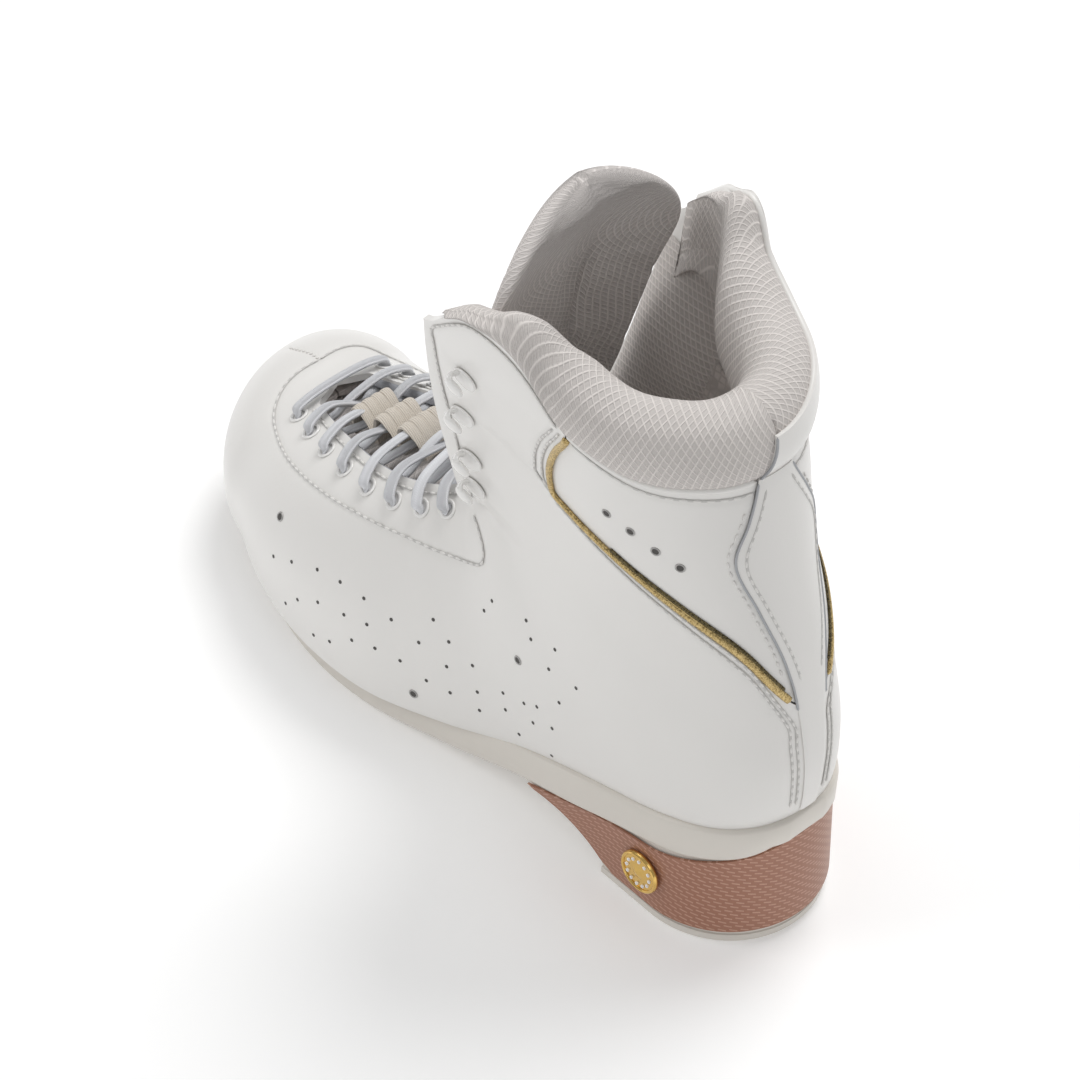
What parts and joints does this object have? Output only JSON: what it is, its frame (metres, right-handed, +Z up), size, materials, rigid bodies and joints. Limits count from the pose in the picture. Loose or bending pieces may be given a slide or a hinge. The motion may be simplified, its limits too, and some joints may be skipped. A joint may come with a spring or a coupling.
{
  "type": "figure skating boot",
  "caption": "Lady's white leather figure skating boot without a blade, laced over the instep, with open ankle flaps and hooks, a padded collar and tongue, and a raised heel.",
  "frame": {"origin": "middle of the round-backed heel lift's flat underside, on the floor", "axes": "+Z up, +Y towards the toe along the foot, -X towards the outer side of a left foot"},
  "size_m": [0.1047, 0.2641, 0.234],
  "materials": {
    "white_leather": "satin, fine grain",
    "gold_trim": "metallic gold cord",
    "stiffener": "matt fibre board",
    "lining": "brushed",
    "mesh_fabric": "padded mesh",
    "elastic": "ribbed",
    "coated_metal": "gloss white",
    "lace": "braided",
    "sole_plastic": "satin",
    "steel": "plain",
    "heel_wrap": "textured copper",
    "gold_badge": "polished"
  },
  "bodies": {
    "boot": {"vamp_lateral": "white_leather", "vamp_medial": "white_leather", "quarter_lateral": "white_leather", "quarter_medial": "white_leather", "ankle_panel_lateral": "white_leather", "ankle_panel_medial": "white_leather", "backstay": "white_leather", "piping_lateral": "gold_trim", "piping_medial": "gold_trim", "toe_puff": "stiffener", "heel_counter": "stiffener", "eyelet_facing_lateral": "stiffener", "eyelet_facing_medial": "stiffener", "insole_board": "stiffener", "lining_front_lateral": "lining", "lining_front_medial": "lining", "lining_back_lateral": "lining", "lining_back_medial": "lining", "footbed": "lining", "collar_padding_back": "mesh_fabric", "tongue_lower": "mesh_fabric", "tongue_elastic_1": "elastic", "tongue_elastic_2": "elastic", "tongue_elastic_3": "elastic", "eyelet_lateral_1": "coated_metal", "eyelet_lateral_2": "coated_metal", "eyelet_lateral_3": "coated_metal", "eyelet_lateral_4": "coated_metal", "eyelet_lateral_5": "coated_metal", "eyelet_lateral_6": "coated_metal", "eyelet_lateral_7": "coated_metal", "eyelet_lateral_8": "coated_metal", "eyelet_medial_1": "coated_metal", "eyelet_medial_2": "coated_metal", "eyelet_medial_3": "coated_metal", "eyelet_medial_4": "coated_metal", "eyelet_medial_5": "coated_metal", "eyelet_medial_6": "coated_metal", "eyelet_medial_7": "coated_metal", "eyelet_medial_8": "coated_metal", "lace": "lace", "outsole": "sole_plastic", "heel_block": "sole_plastic", "heel_lift": "sole_plastic", "shank": "steel", "heel_wrap": "heel_wrap", "heel_badge": "gold_badge"},
    "flap_lateral": {"ankle_flap_lateral": "white_leather", "collar_padding_lateral": "mesh_fabric", "hook_lateral_1": "coated_metal", "hook_lateral_2": "coated_metal", "hook_lateral_3": "coated_metal", "hook_lateral_4": "coated_metal"},
    "flap_medial": {"ankle_flap_medial": "white_leather", "collar_padding_medial": "mesh_fabric", "hook_medial_1": "coated_metal", "hook_medial_2": "coated_metal", "hook_medial_3": "coated_metal", "hook_medial_4": "coated_metal"},
    "tongue": {"tongue_upper": "mesh_fabric"}
  },
  "joints": [
    {"name": "flap_lateral_bend", "type": "hinge", "parent": "boot", "child": "flap_lateral", "pos_m": [-0.0332, 0.0509, 0.1152], "axis": [-0.176, -0.214, 0.9609], "range_deg": [-0.5, 20], "stiffness_Nm_per_rad": 1},
    {"name": "flap_medial_bend", "type": "hinge", "parent": "boot", "child": "flap_medial", "pos_m": [0.0277, 0.0503, 0.1149], "axis": [-0.083, 0.1941, -0.9775], "range_deg": [-0.5, 20], "stiffness_Nm_per_rad": 1},
    {"name": "tongue_fold", "type": "hinge", "parent": "boot", "child": "tongue", "pos_m": [0, 0.0955, 0.0985], "axis": [-1, 0, 0], "range_deg": [-6, 25]}
  ]
}
